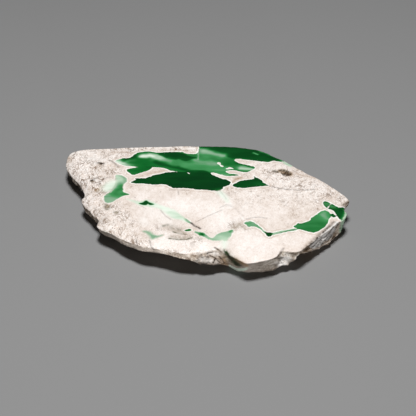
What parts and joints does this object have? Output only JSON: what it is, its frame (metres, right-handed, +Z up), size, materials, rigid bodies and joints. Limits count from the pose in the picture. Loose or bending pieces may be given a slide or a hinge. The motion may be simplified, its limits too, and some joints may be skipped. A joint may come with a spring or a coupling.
{
  "type": "variscite slice",
  "caption": "Flat sawn slice of pale stone with green variscite patches, a polished upper face, a rough broken rim and a sawn base that it rests on.",
  "frame": {"origin": "on the sawn base, under the middle of the slice's box", "axes": "+X along the slice to its right-hand tip, +Y to the straight back edge, +Z up out of the polished face"},
  "size_m": [0.0757, 0.0531, 0.0065],
  "materials": {
    "variscite_in_matrix": "polished pale phosphate matrix with green variscite patches, rough and broken round the rim"
  },
  "bodies": {
    "root": {"variscite_slice": "variscite_in_matrix"}
  },
  "joints": []
}
